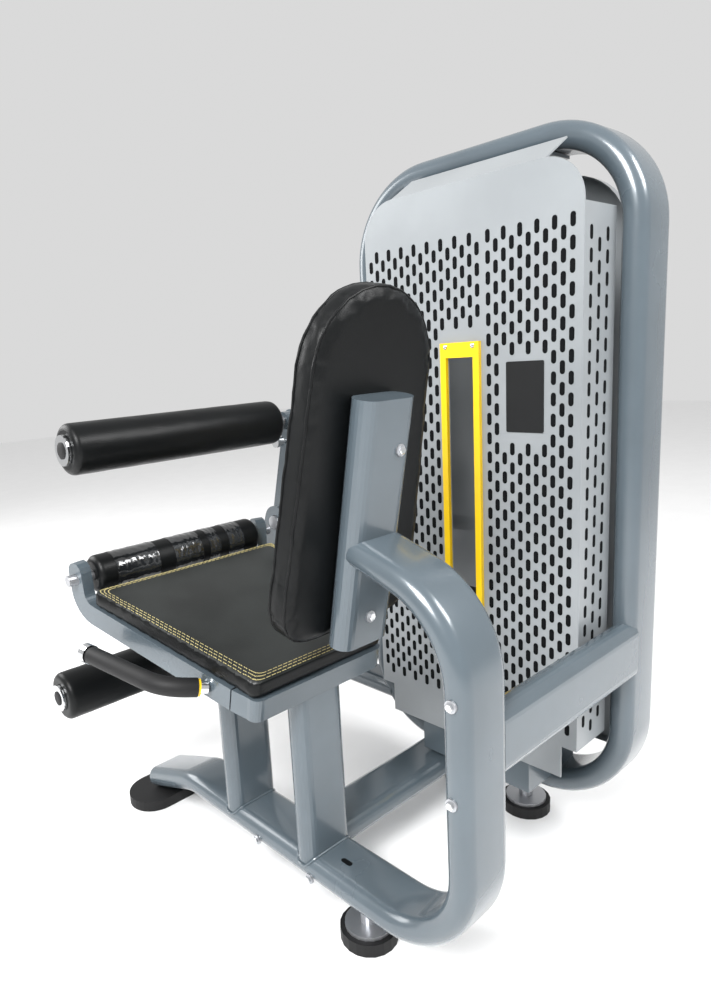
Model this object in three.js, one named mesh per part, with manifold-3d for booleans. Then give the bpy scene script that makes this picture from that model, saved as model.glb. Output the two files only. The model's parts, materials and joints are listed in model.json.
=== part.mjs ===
// Leg extension machine with a shrouded weight stack beside the seat.
// Units are millimetres. +Z is up, +Y is the way the user faces.
// +X points from the seat to the weight stack.
// The working frame has X = 0 on the seat's centre plane, Y = 0 on the back of the rear leg
// and Z = 0 on the floor.
// The whole group is then shifted so that the origin lies under the middle of the machine.
import * as THREE from 'three';
import { mergeVertices } from 'three/addons/utils/BufferGeometryUtils.js';
import Module from 'manifold-3d';

// ---- Driving dimensions -------------------------------------------------------------------------------
const GAP = 0.3;
const BOX_CENTRE_X = 167.95;
const BOX_CENTRE_Y = 535;

const TUBE_WIDTH = 120;
const TUBE_DEPTH = 50;
const TUBE_RADIUS = TUBE_DEPTH / 2;
const BEND_RADIUS = 170;

const BASE_HEIGHT = 119;
const LEG_Y = TUBE_RADIUS;
const UPPER_BEND_HEIGHT = 603;
const ARM_RISE = THREE.MathUtils.degToRad(19);
const TOE_START_Y = 790;
const TOE_DROP = THREE.MathUtils.degToRad(20);
const TOE_END_Y = 990;

const BRACKET_LEAN = THREE.MathUtils.degToRad(11.4);
const BRACKET_FOOT_Y = 271.5;
const BRACKET_FOOT_Z = 619;
const BRACKET_LENGTH = 432;

const REAR_POST_Y = 400;
const FRONT_POST_Y = 642;

const SEAT_TILT = THREE.MathUtils.degToRad(13.2);
const SEAT_BACK_Y = 355;
const SEAT_BACK_Z = 561;
const SEAT_LENGTH = 463;
const SEAT_BACK_HALF = 168;
const SEAT_FRONT_HALF = 247;
const SEAT_PAD_THICKNESS = 37;
const RAIL_HEIGHT = 45;
const RAIL_WIDTH = 26;

const BACK_PAD_THICKNESS = 52;
const BACK_PAD_LENGTH = 602;
const BACK_PAD_LOW_HALF = 172;
const BACK_PAD_TOP_HALF = 142;
const BACK_PAD_OFFSET_X = 12;

const KNEE_Y = 840;
const KNEE_Z = 700;
const UPPER_ROLLER = { y: 784, z: 963, radius: 52, left: -268, right: 258 };
const LOWER_ROLLER = { y: 984, z: 374, radius: 56, left: -272, right: 250 };
const FRONT_ROLLER = { y: 852, z: 682, radius: 42, left: -216, right: 216 };
const AXLE_RADIUS = 12;
const ARM_X = 290;

const LOOP_LEFT = 502;
const LOOP_REAR_Y = 8.5;
const LOOP_FRONT_Y = 715;
const LOOP_TOP = 1519;
const LOOP_BOTTOM = 109;
const LOOP_BEND_RADIUS = 180;
const LOOP_X = LOOP_LEFT + TUBE_WIDTH / 2;

const COVER_X = 385;
const SHEET = 3;
const COVER_REAR_Y = 60;
const COVER_FRONT_Y = 570;
const COVER_TOP = 1424;
const COVER_BOTTOM = 309;
const COVER_CORNER = 80;
const WING_TOP = 1340;
const WINDOW_Y = 317.5;
const WINDOW_HALF = 33;
const WINDOW_TOP = 1090;
const WINDOW_BOTTOM = 345;

const STACK_X = 447;
const PLATE_DEPTH = 92;
const PLATE_LENGTH = 270;
const PLATE_HEIGHT = 68;
const PLATE_COUNT = 4;
const STACK_FLOOR = 250;
const ROD_SPACING = 95;
const ROD_RADIUS = 10;
const PULLEY_RADIUS = 35;
const PULLEY_Z = 1350;
const CAM_RADIUS = 90;
const CABLE_RADIUS = 3;

const FOOT_Y = 280;
const FOOT_RADIUS = 57;
const FOOT_HEIGHT = 26;
const FOOT_STEM_RADIUS = 16;
const CABINET_FRONT_FOOT_Y = 453.5;
const TOE_PAD_WIDTH = 240;
const TOE_PAD_DEPTH = 134;
const TOE_PAD_Y = 1003;

// ---- Finishes -----------------------------------------------------------------------------------------
const COLOURS = {
  paint: [0x77838c, 0.35, 0.35],
  sheet: [0xa9b0b4, 0.45, 0.4],
  vinyl: [0x0d1112, 0.5, 0],
  seatVinyl: [0x3b4042, 0.45, 0],
  chrome: [0xd8dadc, 0.12, 1],
  steel: [0x9a9ea2, 0.35, 0.9],
  rubber: [0x101112, 0.75, 0],
  iron: [0x16181a, 0.6, 0.3],
  yellow: [0xf2c200, 0.4, 0.05],
};

const wasm = await Module();
wasm.setup();
const machine = new THREE.Group();
machine.position.set(-BOX_CENTRE_X, -BOX_CENTRE_Y, 0);

function add(name, geometry, finish) {
  const [color, roughness, metalness] = COLOURS[finish];
  const mesh = new THREE.Mesh(geometry, new THREE.MeshStandardMaterial({ color, roughness, metalness }));
  mesh.name = name;
  machine.add(mesh);
  return mesh;
}

// ---- Solids: joining and cutting ----------------------------------------------------------------------
function solid(geometry) {
  const plain = geometry.clone();
  plain.deleteAttribute('normal');
  plain.deleteAttribute('uv');
  const merged = mergeVertices(plain, 1e-4);
  const mesh = new wasm.Mesh({
    numProp: 3,
    vertProperties: new Float32Array(merged.attributes.position.array),
    triVerts: new Uint32Array(merged.index.array),
  });
  return new wasm.Manifold(mesh);
}

function surface(body) {
  const mesh = body.getMesh();
  const geometry = new THREE.BufferGeometry();
  geometry.setAttribute('position', new THREE.BufferAttribute(new Float32Array(mesh.vertProperties), 3));
  geometry.setIndex(new THREE.BufferAttribute(new Uint32Array(mesh.triVerts), 1));
  return geometry;
}

function cut(base, ...tools) {
  return surface(tools.reduce((body, tool) => body.subtract(solid(tool)), solid(base)));
}

function join(first, ...others) {
  return surface(others.reduce((body, other) => body.add(solid(other)), solid(first)));
}

// ---- Basic shapes -------------------------------------------------------------------------------------
function box(x0, x1, y0, y1, z0, z1) {
  const block = new THREE.BoxGeometry(x1 - x0, y1 - y0, z1 - z0);
  return block.translate((x0 + x1) / 2, (y0 + y1) / 2, (z0 + z1) / 2);
}

// A cylinder along X from x0 to x1, centred on (y, z).
function rodX(x0, x1, y, z, radius, sides = 16) {
  const rod = new THREE.CylinderGeometry(radius, radius, x1 - x0, sides);
  return rod.rotateZ(Math.PI / 2).translate((x0 + x1) / 2, y, z);
}

// A cylinder along Z from z0 to z1, centred on (x, y).
function rodZ(x, y, z0, z1, radius, sides = 16) {
  const rod = new THREE.CylinderGeometry(radius, radius, z1 - z0, sides);
  return rod.rotateX(Math.PI / 2).translate(x, y, (z0 + z1) / 2);
}

// A flat-oval outline: two straight sides joined by half circles.
function ovalShape(width, depth, grow = 0) {
  const radius = depth / 2 + grow;
  const reach = (width - depth) / 2;
  const shape = new THREE.Shape();
  shape.absarc(reach, 0, radius, -Math.PI / 2, Math.PI / 2);
  shape.absarc(-reach, 0, radius, Math.PI / 2, Math.PI * 1.5);
  shape.closePath();
  return shape;
}

// A straight flat-oval tube standing on z = 0, wide along X.
function ovalTube(length, grow = 0, width = TUBE_WIDTH, depth = TUBE_DEPTH) {
  const plain = { depth: length, bevelEnabled: false, curveSegments: 6 };
  return new THREE.ExtrudeGeometry(ovalShape(width, depth, grow), plain);
}

// Turns a geometry drawn in (y, z, x) axes into the working frame.
function standUp(geometry) {
  return geometry.applyMatrix4(new THREE.Matrix4().makeBasis(
    new THREE.Vector3(0, 1, 0),
    new THREE.Vector3(0, 0, 1),
    new THREE.Vector3(1, 0, 0),
  ));
}

// Points of a circular bend about (y, z) in the side plane.
function bend(y, z, radius, from, to, steps = 6) {
  return Array.from({ length: steps + 1 }, (_, i) => {
    const angle = from + ((to - from) * i) / steps;
    return new THREE.Vector2(y + radius * Math.cos(angle), z + radius * Math.sin(angle));
  });
}

// Both edges of a narrow ribbon that follows a line of points.
function ribbonEdges(points, half) {
  const side = (i, sign) => {
    const before = points[Math.max(i - 1, 0)];
    const after = points[Math.min(i + 1, points.length - 1)];
    const direction = after.clone().sub(before).normalize();
    const offset = new THREE.Vector2(-direction.y, direction.x).multiplyScalar(sign * half);
    return points[i].clone().add(offset);
  };
  return [points.map((_, i) => side(i, 1)), points.map((_, i) => side(i, -1))];
}

// A bent flat-oval tube: a ribbon along the bend, rolled out to the full section by its bevel.
function bentTube(points, centreX, grow = 0) {
  const half = 1;
  const [outer, inner] = ribbonEdges(points, half);
  const shape = new THREE.Shape([...outer, ...inner.reverse()]);
  const roll = TUBE_RADIUS - half + grow;
  const geometry = new THREE.ExtrudeGeometry(shape, {
    depth: TUBE_WIDTH + 2 * grow - 2 * roll,
    bevelThickness: roll,
    bevelSize: roll,
    bevelSegments: 3,
  });
  return standUp(geometry).translate(centreX - (TUBE_WIDTH + 2 * grow) / 2 + roll, 0, 0);
}

// A round bar through hand-placed points with rounded bends.
class BentLine extends THREE.Curve {
  constructor(points) {
    super();
    this.points = points;
  }

  getPoint(t, target = new THREE.Vector3()) {
    const place = t * (this.points.length - 1);
    const index = Math.min(Math.floor(place), this.points.length - 2);
    return target.lerpVectors(this.points[index], this.points[index + 1], place - index);
  }

  getPointAt(u, target) {
    return this.getPoint(u, target);
  }

  // The direction at a bend is half way between the directions before and after it.
  getTangentAt(u, target = new THREE.Vector3()) {
    const last = this.points.length - 1;
    const index = Math.round(u * last);
    const heading = (i) => this.points[i + 1].clone().sub(this.points[i]).normalize();
    const [before, after] = [heading(Math.max(index - 1, 0)), heading(Math.min(index, last - 1))];
    return target.copy(before).add(after).normalize();
  }
}

function bar(points, radius, sides = 8) {
  const circle = Array.from({ length: sides }, (_, i) => {
    const angle = (i / sides) * Math.PI * 2;
    return new THREE.Vector2(radius * Math.cos(angle), radius * Math.sin(angle));
  });
  return new THREE.ExtrudeGeometry(new THREE.Shape(circle), {
    steps: points.length - 1,
    extrudePath: new BentLine(points),
    bevelEnabled: false,
  });
}

// ---- Main frame ---------------------------------------------------------------------------------------
function seatFramePath() {
  const toeDropY = TOE_START_Y + BEND_RADIUS * Math.sin(TOE_DROP);
  const toeDropZ = BASE_HEIGHT - BEND_RADIUS * (1 - Math.cos(TOE_DROP));
  const toeEndZ = toeDropZ - (TOE_END_Y - toeDropY) * Math.tan(TOE_DROP);
  const bendY = LEG_Y + BEND_RADIUS;
  const armStart = bend(bendY, UPPER_BEND_HEIGHT, BEND_RADIUS, Math.PI, Math.PI / 2 + ARM_RISE);
  const armRun = 92;
  const last = armStart[armStart.length - 1];
  return [
    new THREE.Vector2(TOE_END_Y, toeEndZ),
    ...bend(TOE_START_Y, BASE_HEIGHT - BEND_RADIUS, BEND_RADIUS, Math.PI / 2 - TOE_DROP, Math.PI / 2, 3),
    ...bend(bendY, BASE_HEIGHT + BEND_RADIUS, BEND_RADIUS, Math.PI * 1.5, Math.PI),
    ...armStart,
    new THREE.Vector2(last.x + armRun * Math.cos(ARM_RISE), last.y + armRun * Math.sin(ARM_RISE)),
  ];
}

function placeBracket(geometry) {
  return geometry.rotateX(BRACKET_LEAN).translate(0, BRACKET_FOOT_Y, BRACKET_FOOT_Z);
}

const framePath = seatFramePath();
const frameSkin = bentTube(framePath, 0, GAP);
add('seat_frame_tube', cut(bentTube(framePath, 0), placeBracket(ovalTube(BRACKET_LENGTH, GAP))), 'paint');
add('backrest_bracket', placeBracket(ovalTube(BRACKET_LENGTH)), 'paint');

// A flat-oval tube bent into a closed loop: one ring of outline points at each point of the path.
function closedTube(path, centreX, grow) {
  const outline = ovalShape(TUBE_WIDTH, TUBE_DEPTH, grow).getPoints(5).slice(0, -1);
  const count = path.length;
  const vertices = [];
  const faces = [];
  path.forEach((point, i) => {
    const before = point.clone().sub(path[(i + count - 1) % count]).normalize();
    const after = path[(i + 1) % count].clone().sub(point).normalize();
    const heading = before.add(after).normalize();
    for (const { x, y } of outline) {
      vertices.push(centreX + x, point.x - heading.y * y, point.y + heading.x * y);
    }
    for (let j = 0; j < outline.length; j += 1) {
      const next = (j + 1) % outline.length;
      const [here, ahead] = [i * outline.length, ((i + 1) % count) * outline.length];
      faces.push(here + j, ahead + next, here + next, here + j, ahead + j, ahead + next);
    }
  });
  const geometry = new THREE.BufferGeometry();
  geometry.setAttribute('position', new THREE.Float32BufferAttribute(vertices, 3));
  geometry.setIndex(faces);
  return geometry;
}

function loopPath() {
  const rear = LOOP_REAR_Y + TUBE_RADIUS + LOOP_BEND_RADIUS;
  const front = LOOP_FRONT_Y - TUBE_RADIUS - LOOP_BEND_RADIUS;
  const low = LOOP_BOTTOM + TUBE_RADIUS + LOOP_BEND_RADIUS;
  const high = LOOP_TOP - TUBE_RADIUS - LOOP_BEND_RADIUS;
  return [
    ...bend(front, high, LOOP_BEND_RADIUS, 0, Math.PI / 2),
    ...bend(rear, high, LOOP_BEND_RADIUS, Math.PI / 2, Math.PI),
    ...bend(rear, low, LOOP_BEND_RADIUS, Math.PI, Math.PI * 1.5),
    ...bend(front, low, LOOP_BEND_RADIUS, Math.PI * 1.5, Math.PI * 2),
  ];
}

const loopSkin = closedTube(loopPath(), LOOP_X, GAP);
add('cabinet_loop', closedTube(loopPath(), LOOP_X, 0), 'paint');

// A flat-oval tube along X, wide side up or on edge, trimmed where it meets other tubes.
function crossTube(x0, x1, y, z, onEdge, trims) {
  const tube = ovalTube(x1 - x0).rotateZ(onEdge ? 0 : Math.PI / 2).rotateY(Math.PI / 2).translate(x0, y, z);
  return cut(tube, ...trims);
}

const upperCross = crossTube(40, LOOP_LEFT + 20, LEG_Y + 4, 491.5, true, [frameSkin, loopSkin]);
add('upper_cross_tube', upperCross, 'paint');
const rearPostSkin = ovalTube(200, GAP).translate(0, REAR_POST_Y, BASE_HEIGHT);
const lowerSkins = [frameSkin, loopSkin, rearPostSkin];
add('lower_cross_tube', crossTube(40, LOOP_LEFT + 20, 453, 124, false, lowerSkins), 'paint');

// ---- Seat frame ---------------------------------------------------------------------------------------
// The seat group has y along the seat from its back edge and z = 0 on the pad's top face.
const seatGroup = new THREE.Matrix4().makeRotationX(SEAT_TILT).setPosition(0, SEAT_BACK_Y, SEAT_BACK_Z);
const onSeat = (geometry) => geometry.applyMatrix4(seatGroup);
const RAIL_TOP = -SEAT_PAD_THICKNESS - GAP;
const RAIL_LOW = RAIL_TOP - RAIL_HEIGHT;
const BACK_RAIL_DEPTH = 57;
const splay = Math.atan((SEAT_FRONT_HALF - SEAT_BACK_HALF) / SEAT_LENGTH);

function halfWidthAt(along) {
  return SEAT_BACK_HALF + along * Math.tan(splay);
}

// Height of the rails' underside above the floor at a distance y along the floor.
function undersideAt(y) {
  return SEAT_BACK_Z + (y - SEAT_BACK_Y) * Math.tan(SEAT_TILT) + (RAIL_LOW - GAP) / Math.cos(SEAT_TILT);
}

function post(y) {
  const above = box(-100, 100, -300, 300, -GAP, 300).rotateX(SEAT_TILT).translate(0, y, undersideAt(y));
  return cut(ovalTube(undersideAt(y) + 40 - BASE_HEIGHT).translate(0, y, BASE_HEIGHT), frameSkin, above);
}

add('rear_post', post(REAR_POST_Y), 'paint');
add('front_post', post(FRONT_POST_Y), 'paint');

// A side rail is a deep bar that runs under the pad and curls up in front of it to hold the front roller.
function sideRail(side) {
  const curl = 48;
  const bottom = RAIL_LOW + RAIL_HEIGHT / 2;
  const middle = (SEAT_LENGTH - 2) / Math.cos(splay);
  const line = [
    new THREE.Vector2(BACK_RAIL_DEPTH + 6, bottom),
    ...bend(middle, bottom + curl, curl, Math.PI * 1.5, Math.PI * 2 - SEAT_TILT, 6),
  ];
  const last = line[line.length - 1];
  const rise = 42;
  line.push(new THREE.Vector2(last.x - rise * Math.sin(-SEAT_TILT), last.y + rise * Math.cos(SEAT_TILT)));
  const [outer, inner] = ribbonEdges(line, RAIL_HEIGHT / 2);
  const tip = line[line.length - 1];
  const tipRound = bend(tip.x, tip.y, RAIL_HEIGHT / 2, Math.PI - SEAT_TILT, -SEAT_TILT, 6).slice(1, -1);
  const shape = new THREE.Shape([...outer, ...tipRound, ...inner.reverse()]);
  const rail = standUp(new THREE.ExtrudeGeometry(shape, { depth: RAIL_WIDTH, bevelEnabled: false }));
  rail.translate(-RAIL_WIDTH / 2, 0, 0).rotateZ(-side * splay);
  return onSeat(rail.translate(side * (SEAT_BACK_HALF - RAIL_WIDTH / 2 - 2), 0, 0));
}

const axleHole = rodX(-300, 300, FRONT_ROLLER.y, FRONT_ROLLER.z, AXLE_RADIUS + GAP);
for (const [name, side] of [['left', -1], ['right', 1]]) {
  add(`${name}_side_rail`, cut(sideRail(side), axleHole), 'paint');
}

// The back rail closes the frame behind, with rounded corners.
// The cross rail ties the sides over the front post.
function backRail() {
  const reach = SEAT_BACK_HALF - 2;
  const round = 22;
  const depth = BACK_RAIL_DEPTH;
  const slope = Math.tan(splay);
  const shape = new THREE.Shape();
  shape.moveTo(-reach - depth * slope, depth);
  shape.lineTo(-reach, round);
  shape.quadraticCurveTo(-reach, 0, -reach + round, 0);
  shape.lineTo(reach - round, 0);
  shape.quadraticCurveTo(reach, 0, reach, round);
  shape.lineTo(reach + depth * slope, depth);
  shape.closePath();
  const plain = { depth: RAIL_HEIGHT, bevelEnabled: false, curveSegments: 6 };
  const rail = new THREE.ExtrudeGeometry(shape, plain);
  return onSeat(rail.translate(0, 0, RAIL_LOW));
}

add('back_rail', backRail(), 'paint');
const crossAlong = (FRONT_POST_Y - SEAT_BACK_Y) / Math.cos(SEAT_TILT) - TUBE_RADIUS - 16;
const crossHalf = halfWidthAt(crossAlong) - RAIL_WIDTH - 5;
const crossRail = box(-crossHalf, crossHalf, crossAlong, crossAlong + 56, RAIL_LOW, RAIL_TOP);
add('seat_cross_rail', onSeat(crossRail), 'paint');

// ---- Pads ---------------------------------------------------------------------------------------------
function roundedPolygon(corners, radius) {
  const shape = new THREE.Shape();
  corners.forEach((corner, i) => {
    const before = corners[(i + corners.length - 1) % corners.length];
    const after = corners[(i + 1) % corners.length];
    const enter = corner.clone().add(before.clone().sub(corner).setLength(radius));
    const leave = corner.clone().add(after.clone().sub(corner).setLength(radius));
    if (i === 0) shape.moveTo(enter.x, enter.y);
    else shape.lineTo(enter.x, enter.y);
    shape.quadraticCurveTo(corner.x, corner.y, leave.x, leave.y);
  });
  shape.closePath();
  return shape;
}

const seatOutline = roundedPolygon([
  new THREE.Vector2(-SEAT_BACK_HALF, 0),
  new THREE.Vector2(SEAT_BACK_HALF, 0),
  new THREE.Vector2(SEAT_FRONT_HALF, SEAT_LENGTH),
  new THREE.Vector2(-SEAT_FRONT_HALF, SEAT_LENGTH),
], 16);
const padEdge = 6;
const seatPad = new THREE.ExtrudeGeometry(seatOutline, {
  depth: SEAT_PAD_THICKNESS - padEdge,
  bevelThickness: padEdge,
  bevelSize: padEdge,
  bevelOffset: -padEdge,
  bevelSegments: 2,
  curveSegments: 4,
});
const seatPadFlat = box(-400, 400, -100, 800, -2 * padEdge, 0);
add('seat_pad', onSeat(cut(seatPad, seatPadFlat).translate(0, 0, -SEAT_PAD_THICKNESS)), 'seatVinyl');

// The back pad's outline has a broad rounded foot and a full round head.
function backPadShape() {
  const foot = 95;
  const head = BACK_PAD_TOP_HALF;
  const shoulder = BACK_PAD_LENGTH - head;
  const shape = new THREE.Shape();
  shape.moveTo(-BACK_PAD_LOW_HALF + foot, 0);
  shape.lineTo(BACK_PAD_LOW_HALF - foot, 0);
  shape.quadraticCurveTo(BACK_PAD_LOW_HALF, 0, BACK_PAD_LOW_HALF, foot);
  shape.lineTo(head, shoulder);
  shape.absarc(0, shoulder, head, 0, Math.PI);
  shape.lineTo(-BACK_PAD_LOW_HALF, foot);
  shape.quadraticCurveTo(-BACK_PAD_LOW_HALF, 0, -BACK_PAD_LOW_HALF + foot, 0);
  return shape;
}

const backEdge = 16;
const backPad = new THREE.ExtrudeGeometry(backPadShape(), {
  depth: BACK_PAD_THICKNESS - 2 * backEdge,
  bevelThickness: backEdge,
  bevelSize: backEdge,
  bevelOffset: -backEdge,
  bevelSegments: 2,
  curveSegments: 7,
});
const backPadY = TUBE_RADIUS + 3 + BACK_PAD_THICKNESS - backEdge;
backPad.rotateX(Math.PI / 2).translate(BACK_PAD_OFFSET_X, backPadY, 0);
add('backrest_pad', placeBracket(backPad), 'vinyl');

// ---- Handles ------------------------------------------------------------------------------------------
function handlePoints(side) {
  const start = [187, 480, 528];
  const corner = [262, 512, 545];
  const end = [288, 742, 553];
  const a = new THREE.Vector3(...start);
  const b = new THREE.Vector3(...corner);
  const c = new THREE.Vector3(...end);
  const entry = b.clone().add(a.clone().sub(b).setLength(48));
  const leave = b.clone().add(c.clone().sub(b).setLength(48));
  const turn = new THREE.QuadraticBezierCurve3(entry, b, leave);
  return [a, ...turn.getPoints(4), c].map((p) => new THREE.Vector3(side * p.x, p.y, p.z));
}

// The grip covers the bar from the middle of its first run to just short of its end.
function handleSleeve(points) {
  const start = points[0].clone().lerp(points[1], 0.55);
  const last = points[points.length - 1];
  const stop = last.clone().add(points.at(-2).clone().sub(last).setLength(3));
  return cut(bar([start, ...points.slice(1, -1), stop], 18, 12), bar(points, AXLE_RADIUS + GAP));
}

for (const [name, side] of [['left', -1], ['right', 1]]) {
  const points = handlePoints(side);
  add(`${name}_handle_bar`, cut(bar(points, AXLE_RADIUS), sideRail(side)), 'chrome');
  add(`${name}_handle_grip`, handleSleeve(points), 'rubber');
  const end = points.at(-1);
  const ahead = end.clone().sub(points.at(-2)).normalize();
  const cap = [end.clone().addScaledVector(ahead, GAP), end.clone().addScaledVector(ahead, 20)];
  add(`${name}_handle_cap`, bar(cap, 20, 16), 'chrome');
}

// ---- Rollers ------------------------------------------------------------------------------------------
// A foam roller: a thick sleeve with rounded shoulders and a through bore.
function rollerSleeve({ y, z, radius, left, right }) {
  const shoulder = 11;
  const bore = AXLE_RADIUS + 1;
  const profile = [
    new THREE.Vector2(bore, left),
    new THREE.Vector2(radius - shoulder, left),
    new THREE.Vector2(radius, left + shoulder),
    new THREE.Vector2(radius, right - shoulder),
    new THREE.Vector2(radius - shoulder, right),
    new THREE.Vector2(bore, right),
    new THREE.Vector2(bore, left),
  ];
  return new THREE.LatheGeometry(profile, 24).rotateZ(-Math.PI / 2).translate(0, y, z);
}

function rollerCap({ y, z, left }, radius) {
  return rodX(left - 7, left - GAP, y, z, radius, 20);
}

add('upper_roller_pad', rollerSleeve(UPPER_ROLLER), 'vinyl');
function rollerAxle({ left, y, z }) {
  return rodX(left, ARM_X - GAP, y, z, AXLE_RADIUS);
}

add('upper_roller_axle', rollerAxle(UPPER_ROLLER), 'steel');
add('upper_roller_cap', rollerCap(UPPER_ROLLER, 31), 'chrome');
add('lower_roller_pad', rollerSleeve(LOWER_ROLLER), 'vinyl');
add('lower_roller_axle', rollerAxle(LOWER_ROLLER), 'steel');
add('lower_roller_cap', rollerCap(LOWER_ROLLER, 31), 'chrome');
add('front_roller_pad', rollerSleeve(FRONT_ROLLER), 'vinyl');
add('front_roller_axle', rodX(-272, 272, FRONT_ROLLER.y, FRONT_ROLLER.z, AXLE_RADIUS), 'steel');

// ---- Knee axis and arms -------------------------------------------------------------------------------
// A flat lever in the side plane between two eyes.
function lever(x, thickness, from, to, radius, endRadius, holes) {
  const angle = Math.atan2(to.z - from.z, to.y - from.y);
  const length = Math.hypot(to.y - from.y, to.z - from.z);
  const tilt = Math.asin((radius - endRadius) / length);
  const shape = new THREE.Shape();
  shape.absarc(length, 0, endRadius, -Math.PI / 2 + tilt, Math.PI / 2 - tilt);
  shape.absarc(0, 0, radius, Math.PI / 2 - tilt, Math.PI * 1.5 + tilt);
  shape.closePath();
  const plain = { depth: thickness, bevelEnabled: false, curveSegments: 8 };
  const blade = new THREE.ExtrudeGeometry(shape, plain);
  blade.rotateZ(angle);
  return cut(standUp(blade).translate(x, from.y, from.z), ...holes);
}

const knee = { y: KNEE_Y, z: KNEE_Z };
const SHAFT_RADIUS = 17;
const SHAFT_CLEARANCE = 1.5;
const ARM_THICKNESS = 22;
const THIGH_ARM_X = ARM_X + ARM_THICKNESS + 4;
const shaftHole = rodX(ARM_X - 40, 640, KNEE_Y, KNEE_Z, SHAFT_RADIUS + SHAFT_CLEARANCE);
add('swing_arm', lever(ARM_X, ARM_THICKNESS, knee, LOWER_ROLLER, 42, 30, [shaftHole]), 'paint');
const thighArm = lever(THIGH_ARM_X, 12, knee, UPPER_ROLLER, 42, 26, [
  rodX(THIGH_ARM_X - 5, THIGH_ARM_X + 20, KNEE_Y, KNEE_Z, SHAFT_RADIUS + SHAFT_CLEARANCE),
]);
const thighBoss = rodX(ARM_X, THIGH_ARM_X + 6, UPPER_ROLLER.y, UPPER_ROLLER.z, 22);
const pinPlace = { y: UPPER_ROLLER.y + 9, z: UPPER_ROLLER.z - 52 };
const pinHole = rodX(THIGH_ARM_X - 5, THIGH_ARM_X + 20, pinPlace.y, pinPlace.z, 6 + GAP);
add('thigh_arm', cut(join(thighArm, thighBoss), pinHole), 'paint');
const popPin = join(
  rodX(THIGH_ARM_X - 30, THIGH_ARM_X + 8, pinPlace.y, pinPlace.z, 6),
  rodX(THIGH_ARM_X - 46, THIGH_ARM_X - 26, pinPlace.y, pinPlace.z, 13),
);
add('thigh_pop_pin', popPin, 'chrome');

const HOUSING_LEFT = THIGH_ARM_X + 16;
const COLUMN_X = 545;
const COLUMN_Y = KNEE_Y;
const HOUSING_RIGHT = STACK_X - 20;
add('pivot_shaft', rodX(ARM_X - 8, COLUMN_X + 30, KNEE_Y, KNEE_Z, SHAFT_RADIUS), 'steel');
const housing = cut(rodX(HOUSING_LEFT, HOUSING_RIGHT, KNEE_Y, KNEE_Z, 34), shaftHole);
const camBore = rodX(STACK_X - 20, STACK_X + 20, KNEE_Y, KNEE_Z, SHAFT_RADIUS + GAP);
const camRim = cut(rodX(STACK_X - 12, STACK_X + 12, KNEE_Y, KNEE_Z, CAM_RADIUS + 8, 28), camBore);
const camGroove = cut(
  rodX(STACK_X - 4, STACK_X + 4, KNEE_Y, KNEE_Z, CAM_RADIUS + 10, 28),
  rodX(STACK_X - 6, STACK_X + 6, KNEE_Y, KNEE_Z, CAM_RADIUS - CABLE_RADIUS - 1, 28),
);
add('cam_wheel', cut(camRim, camGroove), 'iron');

const BASE_TUBE_Z = 205;
const baseTubeRun = COLUMN_Y + TUBE_RADIUS + 12 - LOOP_FRONT_Y + 60;
const baseTube = ovalTube(baseTubeRun, 0, 90).rotateX(-Math.PI / 2);
baseTube.translate(COLUMN_X, LOOP_FRONT_Y - 60, BASE_TUBE_Z);
add('axis_base_tube', cut(baseTube, loopSkin), 'paint');
const column = ovalTube(KNEE_Z + 55 - BASE_TUBE_Z - TUBE_RADIUS - GAP, 0, 90);
column.translate(COLUMN_X, COLUMN_Y, BASE_TUBE_Z + TUBE_RADIUS + GAP);
add('axis_column', cut(column, shaftHole, baseTube), 'paint');
const yokeLow = box(HOUSING_LEFT + 10, COLUMN_X - 50, KNEE_Y - 8, KNEE_Y + 8, KNEE_Z - 150, KNEE_Z - 120);
const [yokeBack, yokeFront] = [KNEE_Y - 8, KNEE_Y + 8];
const yokeBottom = KNEE_Z - 150;
const yokeLeft = box(HOUSING_LEFT + 10, HOUSING_LEFT + 30, yokeBack, yokeFront, yokeBottom, KNEE_Z - 30);
const columnSkin = ovalTube(600, GAP, 90).translate(COLUMN_X, COLUMN_Y, BASE_TUBE_Z);
const yokeRight = box(COLUMN_X - 60, COLUMN_X - 20, yokeBack, yokeFront, yokeBottom, KNEE_Z - 120);
const yoke = join(yokeLow, yokeLeft, yokeRight);
add('bearing_housing', cut(join(housing, cut(yoke, columnSkin)), shaftHole), 'paint');

// ---- Cabinet ------------------------------------------------------------------------------------------
function coverPlate(x0, x1, rearY, frontY, low, high, radius) {
  const shape = new THREE.Shape();
  shape.moveTo(rearY, low);
  shape.lineTo(frontY, low);
  shape.lineTo(frontY, high - radius);
  shape.absarc(frontY - radius, high - radius, radius, 0, Math.PI / 2);
  shape.lineTo(rearY + radius, high);
  shape.absarc(rearY + radius, high - radius, radius, Math.PI / 2, Math.PI);
  shape.closePath();
  const plate = new THREE.ExtrudeGeometry(shape, { depth: x1 - x0, bevelEnabled: false, curveSegments: 5 });
  return standUp(plate).translate(x0, 0, 0);
}

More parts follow.
